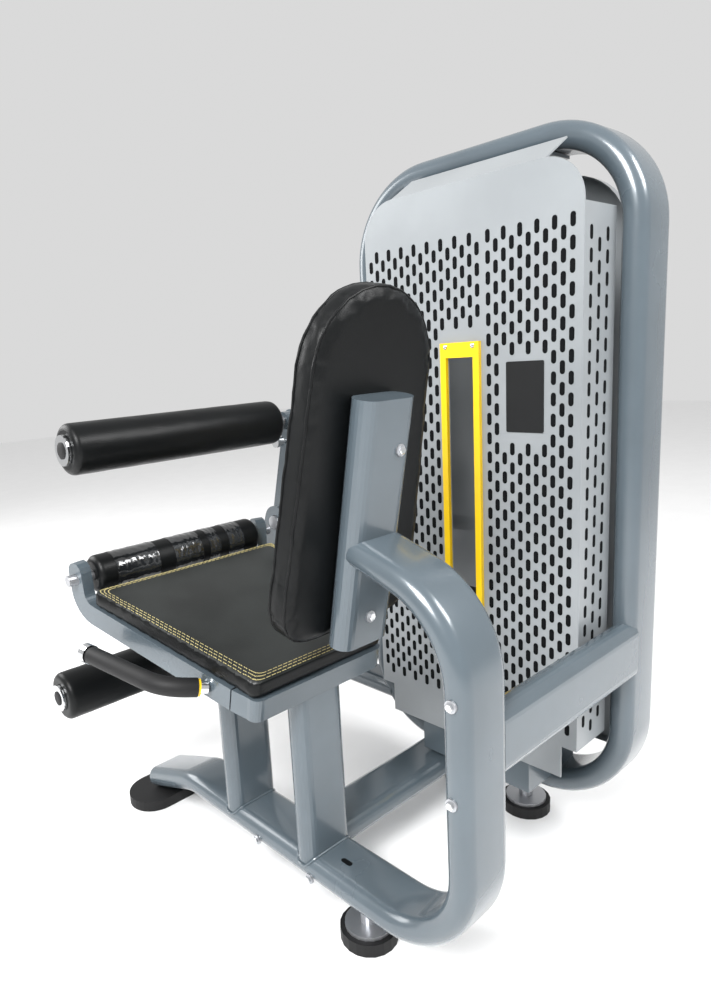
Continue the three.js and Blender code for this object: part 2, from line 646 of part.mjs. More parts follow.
const coverBack = LOOP_LEFT - GAP;
const coverFace = COVER_X + SHEET;
const frontPlate = coverPlate(
  COVER_X,
  coverFace,
  COVER_REAR_Y,
  COVER_FRONT_Y,
  COVER_BOTTOM,
  COVER_TOP,
  COVER_CORNER,
);
const wings = [COVER_REAR_Y, COVER_FRONT_Y - SHEET].map((y) => (
  box(COVER_X, coverBack, y, y + SHEET, COVER_BOTTOM, WING_TOP)
));
const APRON_INSET = 33;
const apronRear = COVER_REAR_Y + APRON_INSET;
const apronFront = COVER_FRONT_Y - APRON_INSET;
const apron = box(COVER_X, coverFace, apronRear, apronFront, COVER_BOTTOM - 69, COVER_BOTTOM + 10);
const flangeLean = THREE.MathUtils.degToRad(58.5);
const flange = box(0, SHEET, COVER_REAR_Y + 76, COVER_FRONT_Y - 74, 0, 92).rotateY(flangeLean);
flange.translate(COVER_X, 0, COVER_TOP - SHEET);
const windowHole = box(
  COVER_X - 20, COVER_X + 10, WINDOW_Y - WINDOW_HALF, WINDOW_Y + WINDOW_HALF, WINDOW_BOTTOM, WINDOW_TOP,
);
const CABLE_LOW_Z = KNEE_Z - CAM_RADIUS;
const cableSlot = box(
  STACK_X - 10,
  STACK_X + 10,
  COVER_FRONT_Y - 10,
  COVER_FRONT_Y + 10,
  CABLE_LOW_Z - 12,
  CABLE_LOW_Z + 12,
);
add('front_cover', cut(join(frontPlate, ...wings, apron, flange), windowHole, cableSlot), 'sheet');

const LOOP_RIGHT = LOOP_LEFT + TUBE_WIDTH;
const rearDepth = 24;
const rearOuter = coverPlate(LOOP_RIGHT + GAP, LOOP_RIGHT + rearDepth, 95, 629, 210, 1436, 130);
const rearInner = coverPlate(LOOP_RIGHT - 5, LOOP_RIGHT + rearDepth - SHEET, 98, 626, 213, 1433, 127);
const rearTabs = [
  box(LOOP_RIGHT - 40, LOOP_RIGHT + rearDepth - 1, 200, 520, 1380, 1383),
  box(LOOP_RIGHT - 40, LOOP_RIGHT + rearDepth - 1, 200, 520, 262, 265),
];
add('rear_cover', join(cut(rearOuter, rearInner), ...rearTabs), 'sheet');

const FRAME_WALL = 14;
const windowOuter = box(
  COVER_X - 9, COVER_X - GAP,
  WINDOW_Y - WINDOW_HALF - FRAME_WALL, WINDOW_Y + WINDOW_HALF + FRAME_WALL,
  WINDOW_BOTTOM - 20, WINDOW_TOP + 30,
);
add('window_frame', cut(windowOuter, windowHole), 'yellow');

// ---- Weight stack -------------------------------------------------------------------------------------
const rodPlaces = [WINDOW_Y - ROD_SPACING, WINDOW_Y + ROD_SPACING];
const BRACKET_TOP_Z = LOOP_TOP - TUBE_DEPTH - GAP;
const bracketFloor = LOOP_BOTTOM + TUBE_DEPTH + GAP;
const baseBracket = box(COVER_X + 16, LOOP_RIGHT - 30, 175, 460, bracketFloor, STACK_FLOOR - GAP);
add('base_bracket', cut(baseBracket, loopSkin), 'paint');
const hangerX = STACK_X + 20;
const topBracket = join(
  box(hangerX, LOOP_RIGHT - 30, 200, 520, BRACKET_TOP_Z - 8, BRACKET_TOP_Z),
  box(hangerX, hangerX + 8, 200, 520, PULLEY_Z - 55, BRACKET_TOP_Z),
  box(STACK_X - 22, hangerX + 2, 200, 250, PULLEY_Z - 55, PULLEY_Z - 43),
  box(STACK_X - 22, hangerX + 2, 385, 440, PULLEY_Z - 55, PULLEY_Z - 43),
  rodX(STACK_X - 12, hangerX + 4, WINDOW_Y + PULLEY_RADIUS, PULLEY_Z, 7),
  rodX(STACK_X - 12, hangerX + 4, WINDOW_Y + PULLEY_RADIUS + 100, PULLEY_Z, 7),
);
const rodTop = PULLEY_Z - 55 - GAP;
add('top_bracket', cut(topBracket, loopSkin), 'paint');
rodPlaces.forEach((y, i) => {
  add(`guide_rod_${i + 1}`, rodZ(STACK_X, y, STACK_FLOOR, rodTop, ROD_RADIUS, 12), 'chrome');
});

function plateBlank(z0, z1) {
  const shape = roundedPolygon([
    new THREE.Vector2(STACK_X - PLATE_DEPTH / 2, WINDOW_Y - PLATE_LENGTH / 2),
    new THREE.Vector2(STACK_X + PLATE_DEPTH / 2, WINDOW_Y - PLATE_LENGTH / 2),
    new THREE.Vector2(STACK_X + PLATE_DEPTH / 2, WINDOW_Y + PLATE_LENGTH / 2),
    new THREE.Vector2(STACK_X - PLATE_DEPTH / 2, WINDOW_Y + PLATE_LENGTH / 2),
  ], 8);
  for (const y of rodPlaces) {
    const hole = new THREE.Path();
    hole.absarc(STACK_X, y, ROD_RADIUS + 1.5, 0, Math.PI * 2);
    shape.holes.push(hole);
  }
  const plain = { depth: z1 - z0, bevelEnabled: false, curveSegments: 4 };
  return new THREE.ExtrudeGeometry(shape, plain).translate(0, 0, z0);
}

const STEM_RADIUS = 12;
const STACK_TOP = STACK_FLOOR + PLATE_COUNT * (PLATE_HEIGHT + GAP);
const PIN_PLATE = 3;
const pinZ = STACK_FLOOR + (PIN_PLATE - 1) * (PLATE_HEIGHT + GAP) + PLATE_HEIGHT / 2;
const pinBore = rodX(STACK_X - 60, STACK_X + 20, WINDOW_Y, pinZ, 5 + 0.6, 12);
const stemBore = rodZ(STACK_X, WINDOW_Y, STACK_FLOOR - 10, STACK_TOP + 10, STEM_RADIUS + 1.5, 12);
for (let i = 0; i < PLATE_COUNT; i += 1) {
  const floor = STACK_FLOOR + i * (PLATE_HEIGHT + GAP);
  const blank = plateBlank(floor, floor + PLATE_HEIGHT);
  const tools = i === PIN_PLATE - 1 ? [stemBore, pinBore] : [stemBore];
  add(`weight_plate_${i + 1}`, cut(blank, ...tools), 'iron');
}
const topPlate = join(
  plateBlank(STACK_TOP, STACK_TOP + 40),
  rodZ(STACK_X, WINDOW_Y, STACK_FLOOR + 20, STACK_TOP + 90, STEM_RADIUS, 16),
);
// The stem is bored from the top, so that it can rise along the cable.
const cableSocket = rodZ(STACK_X, WINDOW_Y, STACK_TOP - 88, STACK_TOP + 100, CABLE_RADIUS + 1.5, 8);
add('top_plate', cut(topPlate, pinBore, cableSocket), 'iron');
const pin = join(
  rodX(STACK_X - 52, STACK_X + 18, WINDOW_Y, pinZ, 5, 12),
  rodX(COVER_X + 4, STACK_X - 50, WINDOW_Y, pinZ, 10, 16),
);
add('selector_pin', pin, 'yellow');

function pulley(y, z) {
  const wheel = rodX(STACK_X - 10, STACK_X + 10, y, z, PULLEY_RADIUS + 5, 18);
  const bore = rodX(STACK_X - 20, STACK_X + 20, y, z, 7 + 0.5, 12);
  const groove = cut(
    rodX(STACK_X - 4, STACK_X + 4, y, z, PULLEY_RADIUS + 8, 18),
    rodX(STACK_X - 6, STACK_X + 6, y, z, PULLEY_RADIUS - CABLE_RADIUS - 1, 18),
  );
  return cut(wheel, bore, groove);
}

const LOW_PULLEY_Y = WINDOW_Y + 3 * PULLEY_RADIUS + 100;
const LOW_PULLEY_Z = CABLE_LOW_Z + PULLEY_RADIUS;
add('top_pulley_rear', pulley(WINDOW_Y + PULLEY_RADIUS, PULLEY_Z), 'iron');
add('top_pulley_front', pulley(WINDOW_Y + PULLEY_RADIUS + 100, PULLEY_Z), 'iron');
add('low_pulley', pulley(LOW_PULLEY_Y, LOW_PULLEY_Z), 'iron');
const lowAxle = join(
  rodX(STACK_X - 12, LOOP_X, LOW_PULLEY_Y, LOW_PULLEY_Z, 7),
  box(LOOP_X - 20, LOOP_X + 20, LOW_PULLEY_Y - 20, LOOP_FRONT_Y - 30, LOW_PULLEY_Z - 15, LOW_PULLEY_Z + 15),
);
add('low_pulley_bracket', cut(lowAxle, loopSkin), 'paint');

// The cable runs from the stem over both top pulleys, down, under the low pulley and on to the cam.
function cableRoute() {
  const turn = (y, z, radius, from, to) => bend(y, z, radius, from, to, 6);
  const flat = [
    new THREE.Vector2(WINDOW_Y, STACK_TOP + 75),
    ...turn(WINDOW_Y + PULLEY_RADIUS, PULLEY_Z, PULLEY_RADIUS, Math.PI, Math.PI / 2),
    ...turn(WINDOW_Y + PULLEY_RADIUS + 100, PULLEY_Z, PULLEY_RADIUS, Math.PI / 2, 0),
    ...turn(LOW_PULLEY_Y, LOW_PULLEY_Z, PULLEY_RADIUS, Math.PI, Math.PI * 1.5),
    ...turn(KNEE_Y, KNEE_Z, CAM_RADIUS, -Math.PI / 2, 0),
  ];
  return flat.map((p) => new THREE.Vector3(STACK_X, p.x, p.y));
}

add('stack_cable', bar(cableRoute(), CABLE_RADIUS, 6), 'iron');

// ---- Feet ---------------------------------------------------------------------------------------------
function foot(name, x, y, underside) {
  const stem = join(
    rodZ(x, y, FOOT_HEIGHT + GAP, FOOT_HEIGHT + 8, FOOT_RADIUS - 10, 20),
    rodZ(x, y, FOOT_HEIGHT + 4, underside - GAP, FOOT_STEM_RADIUS),
  );
  add(`${name}_foot_rubber`, rodZ(x, y, 0, FOOT_HEIGHT, FOOT_RADIUS, 20), 'rubber');
  add(`${name}_foot_stem`, stem, 'steel');
}

foot('rear', 0, FOOT_Y, BASE_HEIGHT - TUBE_RADIUS);
foot('cabinet_rear', LOOP_X, FOOT_Y, LOOP_BOTTOM);
foot('cabinet_front', LOOP_X, CABINET_FRONT_FOOT_Y, LOOP_BOTTOM);

const toeOutline = ovalShape(TOE_PAD_WIDTH, TOE_PAD_DEPTH);
const toePad = new THREE.ExtrudeGeometry(toeOutline, {
  depth: FOOT_HEIGHT,
  bevelEnabled: false,
  curveSegments: 8,
});
toePad.translate(0, TOE_PAD_Y, 0);
add('front_foot_pad', cut(toePad, frameSkin), 'rubber');

export default machine;
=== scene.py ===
"""Leg extension machine: finishes, upholstery and small parts on top of the fixed CAD frame."""

import json
import logging
import math
from dataclasses import dataclass, field
from enum import Enum
from typing import Callable, Iterable, Sequence

import bmesh
import bpy
from mathutils import Matrix, Vector, noise


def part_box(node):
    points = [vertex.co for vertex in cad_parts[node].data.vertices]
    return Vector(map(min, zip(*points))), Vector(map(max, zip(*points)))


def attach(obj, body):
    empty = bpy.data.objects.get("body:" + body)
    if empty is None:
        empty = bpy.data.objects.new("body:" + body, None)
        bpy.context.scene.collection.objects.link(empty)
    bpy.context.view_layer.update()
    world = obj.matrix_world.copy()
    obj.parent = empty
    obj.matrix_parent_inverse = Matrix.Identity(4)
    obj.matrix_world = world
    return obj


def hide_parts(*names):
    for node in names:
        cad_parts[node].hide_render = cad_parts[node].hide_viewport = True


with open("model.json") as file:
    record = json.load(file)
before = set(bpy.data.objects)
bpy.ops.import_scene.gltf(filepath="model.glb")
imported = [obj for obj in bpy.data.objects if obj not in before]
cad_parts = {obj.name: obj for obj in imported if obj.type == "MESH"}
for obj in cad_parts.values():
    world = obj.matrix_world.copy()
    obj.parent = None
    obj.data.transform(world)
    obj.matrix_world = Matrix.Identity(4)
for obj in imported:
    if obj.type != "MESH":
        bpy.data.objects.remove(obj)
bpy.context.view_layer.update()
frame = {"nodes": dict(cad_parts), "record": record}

LOG = logging.getLogger("leg_extension")

Point = tuple[float, float, float]
Outline = list[tuple[float, float]]
Form = tuple[list[Vector], list[list[int]]]

BOX_CENTRE_X = 167.95
BOX_CENTRE_Y = 535.0
TUBE_WIDTH = 120.0
TUBE_DEPTH = 50.0
BEND_RADIUS = 170.0
LOOP_X = 562.0
SEAT_TILT = math.radians(13.2)
BRACKET_LEAN = math.radians(11.4)


def place(x: float, y: float, z: float) -> Vector:
    """A point of the maker's drawing, in millimetres from the rear leg, as metres in the row frame.

    Args:
        x: Distance from the seat's centre plane towards the weight stack.
        y: Distance forward from the back of the rear leg.
        z: Height above the floor.

    Returns:
        The same point in the row frame, in metres.
    """
    return Vector(((x - BOX_CENTRE_X) / 1000, (y - BOX_CENTRE_Y) / 1000, z / 1000))


def on_seat(x: float, along: float, up: float) -> Vector:
    """A point on the tilted seat: across, along from the back edge, up from the pad's top face."""
    c, s = math.cos(SEAT_TILT), math.sin(SEAT_TILT)
    return place(x, 355 + along * c - up * s, 561 + along * s + up * c)


def on_bracket(x: float, out: float, up: float) -> Vector:
    """A point on the leaning bracket: across, forward of its middle plane, up from its foot."""
    c, s = math.cos(BRACKET_LEAN), math.sin(BRACKET_LEAN)
    return place(x, 271.5 + out * c - up * s, 619 + out * s + up * c)


class Grain(Enum):
    """The fine relief that a finish shows."""

    ORANGE_PEEL = "orange_peel"
    LEATHER = "leather"
    MOULDED = "moulded"
    BRUSHED = "brushed"
    WRINKLED = "wrinkled"


GRAIN_SCALE: dict[Grain, tuple[float, float]] = {
    Grain.ORANGE_PEEL: (260.0, 0.03),
    Grain.LEATHER: (420.0, 0.22),
    Grain.MOULDED: (700.0, 0.2),
    Grain.BRUSHED: (900.0, 0.06),
    Grain.WRINKLED: (70.0, 0.6),
}


@dataclass(frozen=True)
class Finish:
    """One surface finish: its colour, how that colour varies, its gloss and its fine relief."""

    name: str
    colour: Point
    roughness: float
    metallic: float = 0.0
    coat: float = 0.0
    spread: float = 0.12
    grain: Grain = Grain.ORANGE_PEEL
    specular: float = 0.5

    def build(self) -> bpy.types.Material:
        """Makes the node material, or returns it if it has been made.

        Returns:
            The material.
        """
        made = bpy.data.materials.get(self.name)
        if made:
            return made
        material = bpy.data.materials.new(self.name)
        material.use_nodes = True
        nodes, links = material.node_tree.nodes, material.node_tree.links
        shader = nodes["Principled BSDF"]
        shader.inputs["Metallic"].default_value = self.metallic
        shader.inputs["Coat Weight"].default_value = self.coat
        shader.inputs["Specular IOR Level"].default_value = self.specular
        shader.inputs["Coat Roughness"].default_value = 0.12
        where = nodes.new("ShaderNodeTexCoord")
        clouds = nodes.new("ShaderNodeTexNoise")
        clouds.inputs["Scale"].default_value = 7.0
        clouds.inputs["Detail"].default_value = 5.0
        links.new(where.outputs["Object"], clouds.inputs["Vector"])
        tone = nodes.new("ShaderNodeValToRGB")
        dark = [c * (1 - self.spread) for c in self.colour]
        light = [min(c * (1 + self.spread), 1.0) for c in self.colour]
        tone.color_ramp.elements[0].color = (*dark, 1)
        tone.color_ramp.elements[0].position = 0.35
        tone.color_ramp.elements[1].color = (*light, 1)
        tone.color_ramp.elements[1].position = 0.65
        links.new(clouds.outputs["Fac"], tone.inputs["Fac"])
        links.new(tone.outputs["Color"], shader.inputs["Base Color"])
        gloss = nodes.new("ShaderNodeMapRange")
        gloss.inputs["To Min"].default_value = self.roughness * 0.85
        gloss.inputs["To Max"].default_value = min(self.roughness * 1.15, 1.0)
        links.new(clouds.outputs["Fac"], gloss.inputs["Value"])
        links.new(gloss.outputs["Result"], shader.inputs["Roughness"])
        scale, depth = GRAIN_SCALE[self.grain]
        relief = nodes.new("ShaderNodeTexNoise")
        if self.grain is Grain.LEATHER:
            relief = nodes.new("ShaderNodeTexVoronoi")
        relief.inputs["Scale"].default_value = scale
        links.new(where.outputs["Object"], relief.inputs["Vector"])
        bump = nodes.new("ShaderNodeBump")
        bump.inputs["Strength"].default_value = depth
        bump.inputs["Distance"].default_value = 0.002 if self.grain is Grain.WRINKLED else 0.0005
        links.new(relief.outputs[0], bump.inputs["Height"])
        links.new(bump.outputs["Normal"], shader.inputs["Normal"])
        return material


PAINT = Finish("paint_grey_blue", (0.078, 0.100, 0.117), 0.26, 0.1, 0.5, 0.06)
SHEET = Finish("sheet_silver", (0.27, 0.288, 0.30), 0.34, 0.2, 0.2, 0.04)
VINYL = Finish("vinyl_black", (0.0028, 0.0033, 0.0036), 0.4, 0.0, 0.0, 0.2, Grain.LEATHER, 0.2)
SEAT_VINYL = Finish("vinyl_charcoal", (0.017, 0.019, 0.0182), 0.4, 0.0, 0.0, 0.25, Grain.LEATHER, 0.35)
CHROME = Finish("chrome", (0.72, 0.73, 0.74), 0.1, 1.0, 0.0, 0.03, Grain.BRUSHED)
STEEL = Finish("steel", (0.46, 0.47, 0.49), 0.3, 1.0, 0.0, 0.08, Grain.BRUSHED)
RUBBER = Finish("rubber_black", (0.006, 0.006, 0.0065), 0.6, 0.0, 0.0, 0.25, Grain.MOULDED, 0.35)
IRON = Finish("iron_black", (0.007, 0.0075, 0.008), 0.55, 0.0, 0.0, 0.2, Grain.MOULDED, 0.25)
YELLOW = Finish("plastic_yellow", (0.80, 0.52, 0.004), 0.3, 0.0, 0.2, 0.04, Grain.MOULDED)
FILM = Finish("clear_film", (0.010, 0.011, 0.012), 0.08, 0.0, 1.0, 0.5, Grain.WRINKLED)
THREAD = Finish("thread_pale_yellow", (0.42, 0.36, 0.16), 0.7, 0.0, 0.0, 0.1, Grain.MOULDED)
# Near-black painted shade: flat capsules in this finish stand in for the shade inside slots, and no hole is
# cut.
SHADOW = Finish("hole_painted_shade", (0.003, 0.0035, 0.004), 0.85, 0.0, 0.0, 0.1, Grain.MOULDED, 0.1)
FLOOR = Finish("floor_pale", (0.9, 0.9, 0.9), 0.8, 0.0, 0.0, 0.01, Grain.MOULDED)

SLOT_FINISH: dict[str, Finish] = {
    "paint": PAINT,
    "sheet": SHEET,
    "pad_vinyl": VINYL,
    "seat_vinyl": SEAT_VINYL,
    "chrome": CHROME,
    "steel": STEEL,
    "rubber": RUBBER,
    "iron": IRON,
    "cable": RUBBER,
    "yellow": YELLOW,
}


def mesh_piece(
    name: str,
    vertices: Sequence[Vector],
    faces: Sequence[Sequence[int]],
    finish: Finish,
    smooth: bool = True,
) -> bpy.types.Object:
    """Makes a mesh object at the origin with outward normals.

    Args:
        name: The piece's name.
        vertices: Its points in the row frame.
        faces: Its faces, as indices of points.
        finish: What it is made of.
        smooth: Whether it is shaded smooth with crisp corners.

    Returns:
        The new object.
    """
    mesh = bpy.data.meshes.new(name)
    mesh.from_pydata([tuple(v) for v in vertices], [], [tuple(f) for f in faces])
    sculpt = bmesh.new()
    sculpt.from_mesh(mesh)
    bmesh.ops.recalc_face_normals(sculpt, faces=sculpt.faces)
    for edge in sculpt.edges:
        sharp = len(edge.link_faces) == 2 and edge.calc_face_angle(0) > math.radians(35)
        edge.smooth = not sharp
    for face in sculpt.faces:
        face.smooth = smooth
    sculpt.to_mesh(mesh)
    sculpt.free()
    mesh.materials.append(finish.build())
    piece = bpy.data.objects.new(name, mesh)
    bpy.context.collection.objects.link(piece)
    return piece


def finish_piece(piece: bpy.types.Object, body: str, slot: str, *replaced: str) -> bpy.types.Object:
    """Rides the piece on its body and hides the CAD nodes it stands for."""
    if replaced:
        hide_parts(*replaced)
    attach(piece, body)
    LOG.info("%s: %d faces on %s", piece.name, len(piece.data.polygons), body)
    return piece


def skin(rings: int, ring: int, closed: bool = False) -> list[list[int]]:
    """The faces that join equal rings of points, with flat ends unless the last ring joins the first.

    Args:
        rings: How many rings there are.
        ring: How many points each ring has.
        closed: Whether the last ring joins the first.

    Returns:
        The faces, as indices of points.
    """
    faces = []
    for i in range(rings if closed else rings - 1):
        low, high = i * ring, ((i + 1) % rings) * ring
        for j in range(ring):
            ahead = (j + 1) % ring
            faces.append([low + j, low + ahead, high + ahead, high + j])
    if not closed:
        faces += [list(range(ring)), list(range((rings - 1) * ring, rings * ring))]
    return faces


def oval_section(width: float, depth: float, steps: int = 14) -> Outline:
    """The outline of a flat-oval tube: (across, thick) points in millimetres."""
    radius, flat = depth / 2, (width - depth) / 2
    right = [math.radians(-90 + 180 * i / steps) for i in range(steps + 1)]
    half = [(flat + radius * math.cos(a), radius * math.sin(a)) for a in right]
    return half + [(-x, -z) for x, z in half]


def arc(
    y: float, z: float, radius: float, start: float, stop: float, steps: int = 20
) -> Outline:
    """Points of a bend in the side plane, with the angles in radians."""
    turns = [start + (stop - start) / steps * i for i in range(steps + 1)]
    return [(y + radius * math.cos(a), z + radius * math.sin(a)) for a in turns]


def side_sweep(line: Sequence[tuple[float, float]], centre_x: float, closed: bool) -> Form:
    """Sweeps the flat-oval tube along a line in the side plane.

    Args:
        line: The tube's centre line as (y, z) points.
        centre_x: Where the tube's middle is across the machine.
        closed: Whether the line joins its own start.

    Returns:
        The points and faces of the tube.
    """
    outline = oval_section(TUBE_WIDTH, TUBE_DEPTH)
    count = len(line)
    points: list[Vector] = []
    for i, (y, z) in enumerate(line):
        before = line[i - 1] if closed or i else line[i]
        after = line[(i + 1) % count] if closed or i < count - 1 else line[i]
        heading = Vector((after[0] - before[0], after[1] - before[1])).normalized()
        points += [place(centre_x + a, y - heading.y * t, z + heading.x * t) for a, t in outline]
    return points, skin(count, len(outline), closed)


def round_sweep(line: Sequence[Vector], radius: float, sides: int = 24) -> Form:
    """Sweeps a circle of a radius in metres along points in the row frame, with closed ends."""
    points: list[Vector] = []
    for i, centre in enumerate(line):
        heading = (line[min(i + 1, len(line) - 1)] - line[max(i - 1, 0)]).normalized()
        side = heading.cross(Vector((0, 0, 1))).normalized()
        up = side.cross(heading)
        for j in range(sides):
            angle = 2 * math.pi * j / sides
            points.append(centre + (side * math.cos(angle) + up * math.sin(angle)) * radius)
    return points, skin(len(line), sides)


def capsule(width: float, height: float, depth: float, steps: int = 5) -> Form:
    """A flat slot shape standing along local Z and facing local X, in millimetres turned to metres."""
    radius = width / 2
    outline = []
    for centre, start in ((height / 2 - radius, 0), (radius - height / 2, 180)):
        for i in range(steps + 1):
            angle = math.radians(start + 180 * i / steps)
            outline.append((radius * math.cos(angle), centre + radius * math.sin(angle)))
    points = [Vector((x, y, z)) / 1000 for x in (-depth / 2, depth / 2) for y, z in outline]
    return points, skin(2, len(outline))


def lathe(profile: Sequence[tuple[float, float]], sides: int) -> Form:
    """Turns (distance along, radius) points in metres about local X, closing both ends."""
    turns = [2 * math.pi * j / sides for j in range(sides)]
    points = [
        Vector((along, radius * math.cos(a), radius * math.sin(a)))
        for along, radius in profile
        for a in turns
    ]
    return points, skin(len(profile), sides)


@dataclass
class Repeater:
    """A Geometry Nodes tree that sets one shape at every point of a set, all turned alike."""

    name: str
    shape: bpy.types.Object
    finish: Finish
    turn: Point = (0.0, 0.0, 0.0)

    def tree(self) -> bpy.types.NodeTree:
        """Builds the tree: points, instances of the shape, real geometry, then the finish."""
        tree = bpy.data.node_groups.new(self.name, "GeometryNodeTree")
        face = tree.interface
        face.new_socket("Geometry", in_out="INPUT", socket_type="NodeSocketGeometry")
        face.new_socket("Shape", in_out="INPUT", socket_type="NodeSocketObject")
        face.new_socket("Turn", in_out="INPUT", socket_type="NodeSocketVector")
        face.new_socket("Finish", in_out="INPUT", socket_type="NodeSocketMaterial")
        face.new_socket("Geometry", in_out="OUTPUT", socket_type="NodeSocketGeometry")
        way_in = tree.nodes.new("NodeGroupInput")
        way_out = tree.nodes.new("NodeGroupOutput")
        info = tree.nodes.new("GeometryNodeObjectInfo")
        spread = tree.nodes.new("GeometryNodeInstanceOnPoints")
        real = tree.nodes.new("GeometryNodeRealizeInstances")
        dress = tree.nodes.new("GeometryNodeSetMaterial")
        tree.links.new(way_in.outputs["Geometry"], spread.inputs["Points"])
        tree.links.new(way_in.outputs["Shape"], info.inputs["Object"])
        tree.links.new(info.outputs["Geometry"], spread.inputs["Instance"])
        tree.links.new(way_in.outputs["Turn"], spread.inputs["Rotation"])
        tree.links.new(spread.outputs["Instances"], real.inputs["Geometry"])
        tree.links.new(real.outputs["Geometry"], dress.inputs["Geometry"])
        tree.links.new(way_in.outputs["Finish"], dress.inputs["Material"])
        tree.links.new(dress.outputs["Geometry"], way_out.inputs["Geometry"])
        return tree

    def build(self, points: Iterable[Vector]) -> bpy.types.Object:
        """Makes one plain mesh of the shape at every point.

        Args:
            points: Where each copy goes, in the row frame.

        Returns:
            The piece, with no modifier left on it.
        """
        seeds = bpy.data.meshes.new(self.name + "_points")
        seeds.from_pydata([tuple(p) for p in points], [], [])
        holder = bpy.data.objects.new(self.name + "_points", seeds)
        bpy.context.collection.objects.link(holder)
        modifier = holder.modifiers.new("repeat", "NODES")
        tree = self.tree()
        modifier.node_group = tree
        keys = {s.name: s.identifier for s in tree.interface.items_tree if s.in_out == "INPUT"}
        modifier[keys["Shape"]] = self.shape
        modifier[keys["Turn"]] = self.turn
        modifier[keys["Finish"]] = self.finish.build()
        graph = bpy.context.evaluated_depsgraph_get()
        graph.update()
        mesh = bpy.data.meshes.new_from_object(holder.evaluated_get(graph), depsgraph=graph)
        mesh.name = self.name
        piece = bpy.data.objects.new(self.name, mesh)
        bpy.context.collection.objects.link(piece)
        bpy.data.objects.remove(holder)
        return piece


def repeat(
    name: str,
    shape: Form,
    finish: Finish,
    points: Iterable[Vector],
    turn: Point = (0.0, 0.0, 0.0),
) -> bpy.types.Object:
    """Repeats a small shape at every point and clears its pattern away.

    Args:
        name: The piece's name.
        shape: The points and faces of one copy.
        finish: What it is made of.
        points: Where the copies go.
        turn: How each copy is turned, in radians about X, Y and Z.

    Returns:
        The piece as one plain mesh.
    """
    pattern = mesh_piece(name + "_pattern", *shape, finish)
    piece = Repeater(name, pattern, finish, turn).build(points)
    bpy.data.objects.remove(pattern)
    return piece


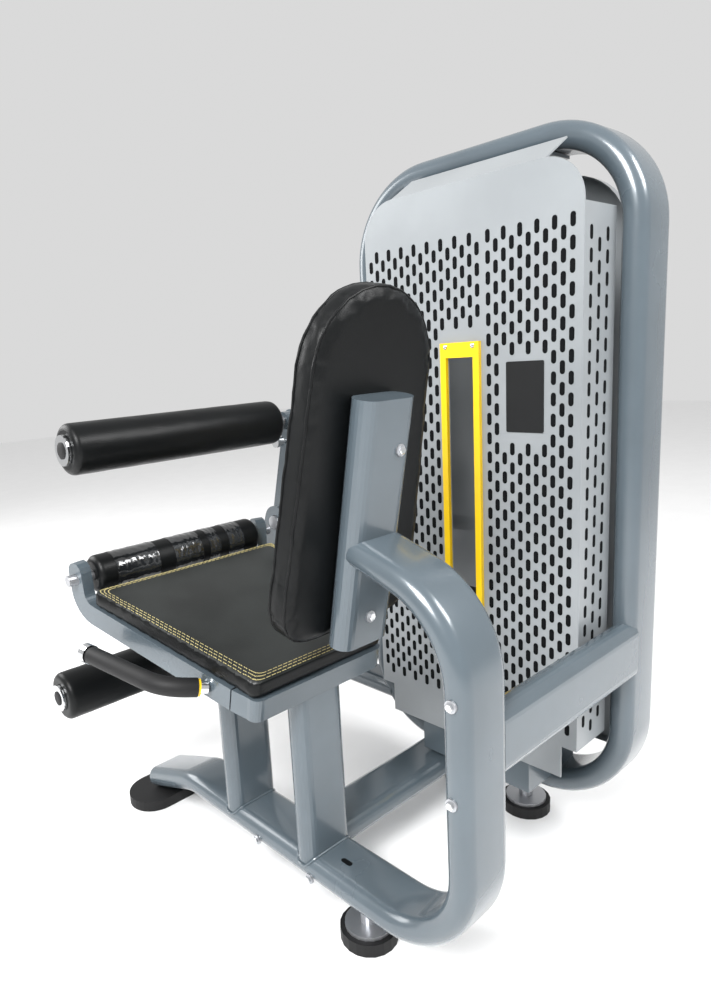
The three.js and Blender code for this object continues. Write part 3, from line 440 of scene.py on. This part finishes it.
@dataclass
class Frame:
    """The bent flat-oval tubes and the bolts on them."""

    base_height: float = 119.0
    upper_bend: float = 603.0
    arm_rise: float = math.radians(19)
    arm_run: float = 92.0
    toe_start: float = 790.0
    toe_drop: float = math.radians(20)
    toe_end: float = 990.0
    loop_rear: float = 8.5
    loop_front: float = 715.0
    loop_bottom: float = 109.0
    loop_top: float = 1519.0
    loop_bend: float = 180.0
    end_round: float = 23.0

    def seat_line(self) -> Outline:
        """The centre line of the seat frame's tube, from the toe to the arm under the backrest."""
        drop_y = self.toe_start + BEND_RADIUS * math.sin(self.toe_drop)
        drop_z = self.base_height - BEND_RADIUS * (1 - math.cos(self.toe_drop))
        reach = self.toe_end + self.end_round
        leg = TUBE_DEPTH / 2 + BEND_RADIUS
        top = arc(leg, self.upper_bend, BEND_RADIUS, math.pi, math.pi / 2 + self.arm_rise)
        y, z = top[-1]
        below = self.base_height - BEND_RADIUS
        return [
            (reach, drop_z - (reach - drop_y) * math.tan(self.toe_drop)),
            *arc(self.toe_start, below, BEND_RADIUS, math.pi / 2 - self.toe_drop, math.pi / 2, 8),
            *arc(leg, self.base_height + BEND_RADIUS, BEND_RADIUS, math.pi * 1.5, math.pi),
            *top,
            (y + self.arm_run * math.cos(self.arm_rise), z + self.arm_run * math.sin(self.arm_rise)),
        ]

    def loop_line(self) -> Outline:
        """The centre line of the cabinet's closed loop."""
        inset = TUBE_DEPTH / 2 + self.loop_bend
        rear, front = self.loop_rear + inset, self.loop_front - inset
        low, high = self.loop_bottom + inset, self.loop_top - inset
        corners = ((front, high, 0.0), (rear, high, 0.5), (rear, low, 1.0), (front, low, 1.5))
        line = []
        for y, z, turn in corners:
            line += arc(y, z, self.loop_bend, turn * math.pi, (turn + 0.5) * math.pi)
        return line

    def welds(self) -> None:
        """Runs a round bead around the foot of each post."""
        for name in ("rear", "front"):
            low, high = (Vector(corner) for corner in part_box(f"{name}_post"))
            middle = (low + high) / 2
            width, depth = (high.x - low.x) * 1000, (high.y - low.y) * 1000
            section = oval_section(max(width, depth) + 3, min(width, depth) + 3, 24)
            floor = (self.base_height + TUBE_DEPTH / 2 + 1.2) / 1000
            line = []
            for k, (a, b) in enumerate(section):
                x, along = (a, b) if width >= depth else (b, a)
                drop = 0.0
                flat = (TUBE_WIDTH - TUBE_DEPTH) / 2
                if abs(x) > flat:
                    reach = min(abs(x) - flat, TUBE_DEPTH / 2 - 1)
                    drop = TUBE_DEPTH / 2 - math.sqrt((TUBE_DEPTH / 2) ** 2 - reach**2)
                line.append(Vector((middle.x + x / 1000, middle.y + along / 1000, floor - drop / 1000)))
            bead = mesh_piece(f"{name}_post_weld", *round_sweep(line + line[:1], 0.0026, 10), PAINT)
            finish_piece(bead, "frame", "paint")

    def build(self) -> None:
        """Builds the two bent tubes and every bolt head."""
        tube = mesh_piece("seat_frame_bent_tube", *side_sweep(self.seat_line(), 0, False), PAINT)
        finish_piece(tube, "frame", "paint", "seat_frame_tube")
        loop = mesh_piece("cabinet_bent_loop", *side_sweep(self.loop_line(), LOOP_X, True), PAINT)
        finish_piece(loop, "frame", "paint", "cabinet_loop")
        # The base tube's slot is a flat dark capsule of painted shade; no hole is cut.
        slot = capsule(11, 27, 1.0)
        spot = place(-10, 322.5, self.base_height + TUBE_DEPTH / 2)
        turn = (math.pi / 2, math.pi / 2, 0.0)
        finish_piece(repeat("base_slot", slot, SHADOW, [spot], turn), "frame", "paint")
        self.welds()
        head = lathe([(-0.003, 0.0072), (-0.0068, 0.0072), (-0.008, 0.006)], 6)
        side = [place(-60, 544, 109), place(-60, 378, 106), place(-60, 24, 595), place(-60, 27, 432)]
        finish_piece(repeat("side_bolt_heads", head, CHROME, side), "frame", "chrome")
        collar = lathe([(0.001, 0.0102), (-0.0032, 0.0102)], 20)
        finish_piece(repeat("side_bolt_washers", collar, STEEL, side), "frame", "steel")
        back = [on_bracket(-2, -TUBE_DEPTH / 2, 56), on_bracket(25, -TUBE_DEPTH / 2, 348)]
        turn = (0.0, 0.0, math.pi / 2)
        finish_piece(repeat("backrest_bolt_heads", head, CHROME, back, turn), "frame", "chrome")
        finish_piece(repeat("backrest_bolt_washers", collar, STEEL, back, turn), "frame", "steel")


@dataclass
class Cushion:
    """A stuffed pad: its plan outline, its thickness, and how far the stuffing swells it."""

    name: str
    node: str
    finish: Finish
    slot: str
    thickness: float
    outline: Outline
    to_row: Callable[[float, float, float], Vector]
    crown: float = 5.0
    swell: float = 0.006
    rings: int = 14
    edge: float = 9.0
    centre: tuple[float, float] = (0.0, 0.0)
    side_finish: Finish | None = None
    voxel: float = 0.006
    frames: int = 14

    def shell(self) -> Form:
        """The closed form before stuffing: rings from the top's middle, over the edge, to the bottom's."""
        cx, cy = self.centre
        levels: Outline = []
        for i in range(1, self.rings + 1):
            share = i / self.rings
            levels.append((share, -self.crown * share * share))
        for i in range(1, 5):
            angle = math.pi / 2 * i / 4
            levels.append((1.0, -self.crown - self.edge * (1 - math.cos(angle)) * 0.6))
        levels.append((1.0, -self.thickness + 4))
        for i in range(self.rings, 0, -1):
            levels.append((i / self.rings * 0.985, -self.thickness))
        points = []
        for share, up in levels:
            for x, y in self.outline:
                points.append(self.to_row(cx + (x - cx) * share, cy + (y - cy) * share, up))
        return points, skin(len(levels), len(self.outline))

    def stuff(self, piece: bpy.types.Object) -> None:
        """Stuffs the pad by cloth simulation, caps each point's travel and keeps the result."""
        remesh = piece.modifiers.new("even", "REMESH")
        remesh.mode = "VOXEL"
        remesh.voxel_size = self.voxel
        self.keep(piece)
        start = [v.co.copy() for v in piece.data.vertices]
        cloth = piece.modifiers.new("stuff", "CLOTH")
        cloth.settings.use_pressure = True
        cloth.settings.uniform_pressure_force = 4.0
        cloth.settings.effector_weights.gravity = 0.0
        cloth.settings.quality = 4
        cloth.point_cache.frame_end = self.frames
        for moment in range(1, self.frames + 1):
            bpy.context.scene.frame_set(moment)
        self.keep(piece)
        bpy.context.scene.frame_set(1)
        for vertex, was in zip(piece.data.vertices, start):
            travel = vertex.co - was
            if travel.length > self.swell:
                vertex.co = was + travel.normalized() * self.swell
        for face in piece.data.polygons:
            face.use_smooth = True

    @staticmethod
    def keep(piece: bpy.types.Object) -> None:
        """Puts what the modifiers make into the mesh and removes them."""
        graph = bpy.context.evaluated_depsgraph_get()
        mesh = bpy.data.meshes.new_from_object(piece.evaluated_get(graph), depsgraph=graph)
        piece.modifiers.clear()
        piece.data = mesh

    def build(self) -> bpy.types.Object:
        piece = mesh_piece(self.name, *self.shell(), self.finish)
        self.stuff(piece)
        if self.side_finish:
            self.dress_sides(piece)
        return finish_piece(piece, "frame", self.slot, self.node)

    def dress_sides(self, piece: bpy.types.Object) -> None:
        """Dresses every face that doesn't look up from the pad in the side finish, so the sides differ from
        the top by which way they face.
        """
        up = (self.to_row(0, 0, 1) - self.to_row(0, 0, 0)).normalized()
        piece.data.materials.append(self.side_finish.build())
        for face in piece.data.polygons:
            face.material_index = 0 if face.normal.dot(up) > 0.6 else 1


def rounded(corners: Sequence[Point], steps: int = 8, pitch: float = 12.0) -> Outline:
    """A closed outline with rounded corners and evenly stepped sides.

    Args:
        corners: Each corner's x, y and rounding.
        steps: How many steps each rounding takes.
        pitch: The longest step along a straight side.

    Returns:
        The outline's points in order.
    """
    path: list[Vector] = []
    count = len(corners)
    for i, (x, y, radius) in enumerate(corners):
        here = Vector((x, y))
        before = (Vector(corners[i - 1][:2]) - here).normalized()
        after = (Vector(corners[(i + 1) % count][:2]) - here).normalized()
        enter, leave = here + before * radius, here + after * radius
        if path:
            gap = enter - path[-1]
            cuts = max(int(gap.length / pitch), 1)
            path += [path[-1] + gap * (k / cuts) for k in range(1, cuts)]
        for k in range(steps + 1):
            t = k / steps
            path.append(enter * (1 - t) ** 2 + here * 2 * t * (1 - t) + leave * t * t)
    gap = path[0] - path[-1]
    cuts = max(int(gap.length / pitch), 1)
    path += [path[-1] + gap * (k / cuts) for k in range(1, cuts)]
    return [(p.x, p.y) for p in path]


def evenly(line: Sequence[Vector], pitch: float) -> list[Vector]:
    """Points every pitch metres along an open line."""
    found: list[Vector] = []
    left = 0.0
    for a, b in zip(line, line[1:]):
        length = (b - a).length
        while left < length:
            found.append(a.lerp(b, left / length))
            left += pitch
        left -= length
    return found


def laid_on(pad: bpy.types.Object, spots: Iterable[Vector], proud: float = 0.0) -> list[Vector]:
    """Moves points onto the nearest place of a finished pad.

    Args:
        pad: The stuffed pad, which sits at the origin.
        spots: The points to lay down, in the row frame.
        proud: How far above the surface each one ends.

    Returns:
        The laid points, in the same order.
    """
    laid = []
    for spot in spots:
        _, where, normal, _ = pad.closest_point_on_mesh(spot)
        laid.append(where + normal * proud)
    return laid


@dataclass
class Seat:
    """The tilted seat pad with its stitched edge."""

    back_half: float = 166.0
    front_half: float = 245.0
    length: float = 461.0
    thickness: float = 37.0

    def outline(self, inset: float) -> Outline:
        """The pad's plan, drawn in by an inset."""
        b, f = self.back_half - inset, self.front_half - inset
        low, high = 2 + inset, self.length - inset
        return rounded([(-b, low, 16), (b, low, 16), (f, high, 18), (-f, high, 18)])

    def build(self) -> None:
        """Builds the pad and the rows of stitches."""
        pad = Cushion(
            "seat_cushion", "seat_pad", SEAT_VINYL, "seat_vinyl", self.thickness - 2,
            # The seat's top keeps the lighter charcoal vinyl, and faces that don't look up take the black
            # vinyl, so its sides are darker.
            self.outline(1), on_seat, crown=2.0, swell=0.0035, centre=(0.0, self.length / 2), side_finish=VINYL,
        )
        cushion = pad.build()
        stitch = lathe([(-0.0024, 0.0004), (-0.0012, 0.0008), (0.0012, 0.0008), (0.0024, 0.0004)], 6)
        for row, inset in enumerate((10.0, 16.0, 22.0)):
            loop = [on_seat(x, y, 0.6) for x, y in self.outline(inset)]
            sides = {"rear": (0.0, 0.0, 0.0), "flank": (0.0, -SEAT_TILT, math.pi / 2)}
            spots: dict[str, list[Vector]] = {key: [] for key in sides}
            for a, b in zip(loop, loop[1:] + loop[:1]):
                across = abs(b.x - a.x) > abs(b.y - a.y)
                spots["rear" if across else "flank"] += evenly([a, b], 0.0075)
            for key, turn in sides.items():
                laid = laid_on(cushion, spots[key], 0.0003)
                piece = repeat(f"seat_stitches_{key}_{row + 1}", stitch, THREAD, laid, turn)
                finish_piece(piece, "frame", "seat_vinyl")


@dataclass
class BackPad:
    """The upright back pad with piping around both faces."""

    thickness: float = 52.0
    length: float = 602.0
    low_half: float = 172.0
    top_half: float = 142.0
    offset: float = 12.0

    def outline(self, inset: float) -> Outline:
        """The pad's face: a broad rounded foot and a full round head."""
        low, top = self.low_half - inset, self.top_half - inset
        shoulder = self.length - self.top_half
        foot = 90.0
        right = rounded([(low, inset, foot), (top, shoulder, 1), (-top, shoulder, 1), (-low, inset, foot)])
        turns = [math.pi * k / 28 for k in range(1, 28)]
        head = [(top * math.cos(a), shoulder + top * math.sin(a)) for a in turns]
        above = [p for p in right if p[1] < shoulder - 2]
        start = max(range(len(above)), key=lambda i: above[i][1] if above[i][0] > 0 else -1)
        turned = above[start + 1:] + above[:start + 1]
        return turned + head

    def place_on_bracket(self, x: float, y: float, up: float) -> Vector:
        """A pad point: its front face is where up is zero."""
        return on_bracket(x + self.offset, TUBE_DEPTH / 2 + 3 + self.thickness + up, y)

    def build(self) -> None:
        """Builds the pad and its two lines of piping."""
        pad = Cushion(
            "backrest_cushion", "backrest_pad", VINYL, "pad_vinyl", self.thickness - 2,
            self.outline(2), self.place_on_bracket, crown=4.0, swell=0.0045, centre=(0.0, self.length / 2),
        )
        cushion = pad.build()
        for name, up in (("front", -8.0), ("rear", -self.thickness + 5)):
            line = laid_on(cushion, [self.place_on_bracket(x, y, up) for x, y in self.outline(2)])
            cord = mesh_piece(f"backrest_piping_{name}", *round_sweep(line + line[:1], 0.0024, 10), VINYL)
            finish_piece(cord, "frame", "pad_vinyl")


@dataclass
class Roller:
    """A foam roller in vinyl, with drawn-in ends and slight creases."""

    name: str
    body: str
    y: float
    z: float
    radius: float
    left: float
    right: float
    film_bands: Outline = field(default_factory=list)

    def sleeve(self) -> Form:
        """The creased sleeve with rounded shoulders."""
        sides, steps, shoulder = 64, 90, 13.0
        profile = [(self.left + 1, 14.0), (self.left + 1, self.radius - shoulder)]
        profile += [
            (self.left + shoulder * (1 - math.sin(a)) + 1, self.radius - shoulder * (1 - math.cos(a)))
            for a in (math.pi / 2 * (1 - k / 6) for k in range(7))
        ]
        span = self.right - self.left - 2 * shoulder - 2
        profile += [(self.left + shoulder + 1 + span * k / steps, self.radius) for k in range(1, steps)]
        profile += [(self.left + self.right - x, r) for x, r in reversed(profile[:9])]
        points, faces = lathe([(x / 1000, r / 1000) for x, r in profile], sides)
        middle = place(0, self.y, self.z)
        placed = []
        for p in points:
            crease = noise.noise(Vector((p.x * 22, p.y * 60, p.z * 60)) + Vector((self.y, 0, 0))) * 0.0009
            radial = Vector((0, p.y, p.z))
            size = radial.length
            grown = radial * ((size + min(crease, 0.0)) / size) if size > 0.02 else radial
            placed.append(Vector((p.x - BOX_CENTRE_X / 1000, middle.y + grown.y, middle.z + grown.z)))
        return placed, faces

    def cap_centre(self) -> None:
        """Builds the black centre and the lip of the end cap."""
        face = place(self.left - 7, self.y, self.z)
        centre = lathe([(0.001, 0.017), (-0.0015, 0.017), (-0.003, 0.014), (-0.003, 0.005)], 32)
        finish_piece(repeat(self.name + "_cap_centre", centre, RUBBER, [face]), self.body, "rubber")

    def build(self) -> None:
        """Builds the sleeve and the film wrapped around it."""
        if not self.film_bands:
            self.cap_centre()
        sleeve = mesh_piece(self.name + "_sleeve", *self.sleeve(), VINYL)
        finish_piece(sleeve, self.body, "pad_vinyl", self.name + "_pad")
        middle = place(0, self.y, self.z)
        for number, (start, stop) in enumerate(self.film_bands, 1):
            steps = 30
            along = [(start + (stop - start) * k / steps) / 1000 for k in range(steps + 1)]
            profile = [(x, (self.radius + 0.7) / 1000) for x in along]
            points, faces = lathe([(profile[0][0], 0.03), *profile, (profile[-1][0], 0.03)], 64)
            placed = []
            for p in points:
                wave = noise.noise(Vector((p.x * 160, p.y * 90, p.z * 90))) * 0.0009
                radial = Vector((0, p.y, p.z)) * (1 + wave / 0.042)
                placed.append(Vector((p.x - BOX_CENTRE_X / 1000, middle.y + radial.y, middle.z + radial.z)))
            film = mesh_piece(f"{self.name}_film_{number}", placed, faces, FILM)
            finish_piece(film, self.body, "pad_vinyl")


@dataclass
class Handles:
    """The two bent side handles with their grips and collars."""

    start: Point = (187.0, 480.0, 528.0)
    corner: Point = (262.0, 512.0, 545.0)
    end: Point = (288.0, 742.0, 553.0)
    bend: float = 48.0

    def line(self, side: int) -> list[Vector]:
        """The centre line of one handle, in the row frame."""
        a, b, c = (place(side * p[0], p[1], p[2]) for p in (self.start, self.corner, self.end))
        enter = b + (a - b).normalized() * self.bend / 1000
        leave = b + (c - b).normalized() * self.bend / 1000
        steps = [k / 16 for k in range(17)]
        turn = [enter * (1 - t) ** 2 + b * 2 * t * (1 - t) + leave * t * t for t in steps]
        return [a, *turn, c]

    def build(self) -> None:
        """Builds each bar, grip and collar."""
        for name, side in (("left", -1), ("right", 1)):
            line = self.line(side)
            bar = mesh_piece(f"{name}_handle_tube", *round_sweep(line, 0.012), CHROME)
            finish_piece(bar, "frame", "chrome", f"{name}_handle_bar")
            tip = line[-1] + (line[-2] - line[-1]).normalized() * 0.003
            grip_line = [line[0].lerp(line[1], 0.55), *line[1:-1], tip]
            grip = mesh_piece(f"{name}_handle_foam_grip", *round_sweep(grip_line, 0.018), RUBBER)
            finish_piece(grip, "frame", "rubber", f"{name}_handle_grip")
            rings = [line[0].lerp(line[1], t) for t in (0.42, 0.54)]
            ring = mesh_piece(f"{name}_handle_collar", *round_sweep(rings, 0.0165), YELLOW)
            finish_piece(ring, "frame", "yellow")


@dataclass
class Cabinet:
    """The perforated cover's slots as flat capsules of painted shade, the blank plate and the screws of the
    window frame.
    """

    face_x: float = 385.0
    rear_y: float = 60.0
    first_y: float = 80.6
    pitch: float = 17.24
    extra: float = 7.5
    columns: int = 28
    row_pitch: float = 38.5
    top: float = 1313.0
    bottom: float = 344.0
    slot_width: float = 10.0
    slot_height: float = 25.0
    plate: tuple[float, float, float, float] = (134.0, 214.0, 942.0, 1077.0)

    def clear(self, y: float, z: float) -> bool:
        """Whether a slot may go there: away from the window and the blank plate."""
        in_window = 255 < y < 380 and z < 1142
        low_y, high_y, low_z, high_z = self.plate
        in_plate = low_y - 8 < y < high_y + 8 and low_z - 18 < z < high_z + 18
        return not (in_window or in_plate)

    def front_slots(self) -> list[Vector]:
        """The middles of the slots on the face towards the seat."""
        spots = []
        for column in range(self.columns):
            y = self.first_y + self.pitch * column + (self.extra if column >= 11 else 0)
            if y > 555:
                continue
            z = self.top - (self.row_pitch / 2 if column % 2 else 0)
            while z > self.bottom:
                if self.clear(y, z):
                    spots.append(place(self.face_x, y, z))
                z -= self.row_pitch
        return spots

    def wing_slots(self) -> list[Vector]:
        """The middles of the slots on the wing behind the cover."""
        spots = []
        for column in range(3):
            z = 1290 - (self.row_pitch / 2 if column % 2 else 0)
            while z > self.bottom:
                spots.append(place(410 + 30 * column, self.rear_y, z))
                z -= self.row_pitch
        return spots

    def build(self) -> None:
        """Builds the slots' painted shade, the plate and the screws."""
        # Each slot is a flat dark capsule across the sheet's face: painted shade, no hole is cut.
        slot = capsule(self.slot_width, self.slot_height, 1.0)
        finish_piece(repeat("cover_slots", slot, SHADOW, self.front_slots()), "frame", "sheet")
        turn = (0.0, 0.0, math.pi / 2)
        finish_piece(repeat("wing_slots", slot, SHADOW, self.wing_slots(), turn), "frame", "sheet")
        low_y, high_y, low_z, high_z = self.plate
        corners = rounded([(low_y, low_z, 4), (high_y, low_z, 4), (high_y, high_z, 4), (low_y, high_z, 4)])
        points = [place(x, y, z) for x in (self.face_x - 1.2, self.face_x) for y, z in corners]
        plate = mesh_piece("blank_plate", points, skin(2, len(corners)), IRON)
        finish_piece(plate, "frame", "iron")
        low, high = (Vector(corner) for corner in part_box("window_frame"))
        screw = lathe([(0.001, 0.0045), (-0.0016, 0.0045), (-0.0026, 0.003)], 14)
        across, heights = (low.y + 0.014, high.y - 0.014), (high.z - 0.008, low.z + 0.008)
        spots = [Vector((low.x, y, z)) for y in across for z in heights]
        finish_piece(repeat("window_screws", screw, CHROME, spots), "frame", "chrome")


def dress_nodes() -> None:
    """Gives every shown CAD node the finish of its material slot."""
    for part in frame["record"]["subparts"]:
        node = frame["nodes"][part["node"]]
        finish = SLOT_FINISH[part["material_slot"]].build()
        if not node.material_slots:
            node.data.materials.append(finish)
        for place_in_node in node.material_slots:
            place_in_node.material = finish
        LOG.info("%s: %s", part["node"], finish.name)


@dataclass
class Studio:
    """The floor, the lights and the camera."""

    eye: Point = (-1.0094, -1.1088, 1.1063)
    yaw: float = 41.01
    pitch: float = -11.912
    roll: float = -3.803
    lens: float = 25.73
    shift: tuple[float, float] = (0.0522, 0.0108)

    def camera(self) -> None:
        """Sets the camera at the viewing angle."""
        yaw, pitch, roll = (math.radians(a) for a in (self.yaw, self.pitch, self.roll))
        ahead = Vector((math.sin(yaw) * math.cos(pitch), math.cos(yaw) * math.cos(pitch), math.sin(pitch)))
        level = Vector((math.cos(yaw), -math.sin(yaw), 0))
        up = level.cross(ahead)
        right = level * math.cos(roll) + up * math.sin(roll)
        top = up * math.cos(roll) - level * math.sin(roll)
        data = bpy.data.cameras.new("camera")
        data.lens = self.lens
        data.sensor_width = 36.0
        data.shift_x, data.shift_y = self.shift
        camera = bpy.data.objects.new("camera", data)
        bpy.context.collection.objects.link(camera)
        turn = Matrix((right, top, -ahead)).transposed().to_4x4()
        camera.matrix_world = Matrix.Translation(Vector(self.eye)) @ turn
        bpy.context.scene.camera = camera

    def lamp(self, name: str, at: Point, size: float, power: float) -> None:
        """Adds one soft square light that faces the machine."""
        data = bpy.data.lights.new(name, "AREA")
        data.energy = power
        data.size = size
        lamp = bpy.data.objects.new(name, data)
        lamp.location = at
        lamp.rotation_euler = (Vector((0, 0, 0.7)) - Vector(at)).to_track_quat("-Z", "Y").to_euler()
        bpy.context.collection.objects.link(lamp)

    def build(self) -> None:
        """Builds the whole stage."""
        half = 12.0
        flat = ((-half, -half), (half, -half), (half, half), (-half, half))
        corners = [Vector((x, y, -0.0005)) for x, y in flat]
        floor = mesh_piece("floor", corners, [[0, 1, 2, 3]], FLOOR)
        self.lamp("key", (-2.9, -1.2, 3.4), 1.6, 260)
        self.lamp("fill", (-1.5, 3.4, 2.4), 2.0, 90)
        self.lamp("top", (1.2, -2.8, 3.4), 1.4, 120)
        world = bpy.data.worlds.new("studio")
        world.use_nodes = True
        world.node_tree.nodes["Background"].inputs["Color"].default_value = (1, 1, 1, 1)
        world.node_tree.nodes["Background"].inputs["Strength"].default_value = 0.7
        bpy.context.scene.world = world
        bpy.context.scene.view_settings.view_transform = "Standard"
        self.camera()


def main() -> None:
    """Builds everything in order."""
    logging.basicConfig(level=logging.INFO, format="%(name)s %(message)s")
    Studio().build()
    dress_nodes()
    Frame().build()
    Seat().build()
    BackPad().build()
    bands = [(-175, -70), (-30, 45), (65, 95), (120, 165)]
    for roller in (
        Roller("upper_roller", "upper_roller", 784, 963, 52, -268, 258),
        Roller("lower_roller", "lower_roller", 984, 374, 56, -272, 250),
        Roller("front_roller", "front_roller", 852, 682, 42, -216, 216, bands),
    ):
        roller.build()
    Handles().build()
    Cabinet().build()


if __name__ == "__main__":
    main()
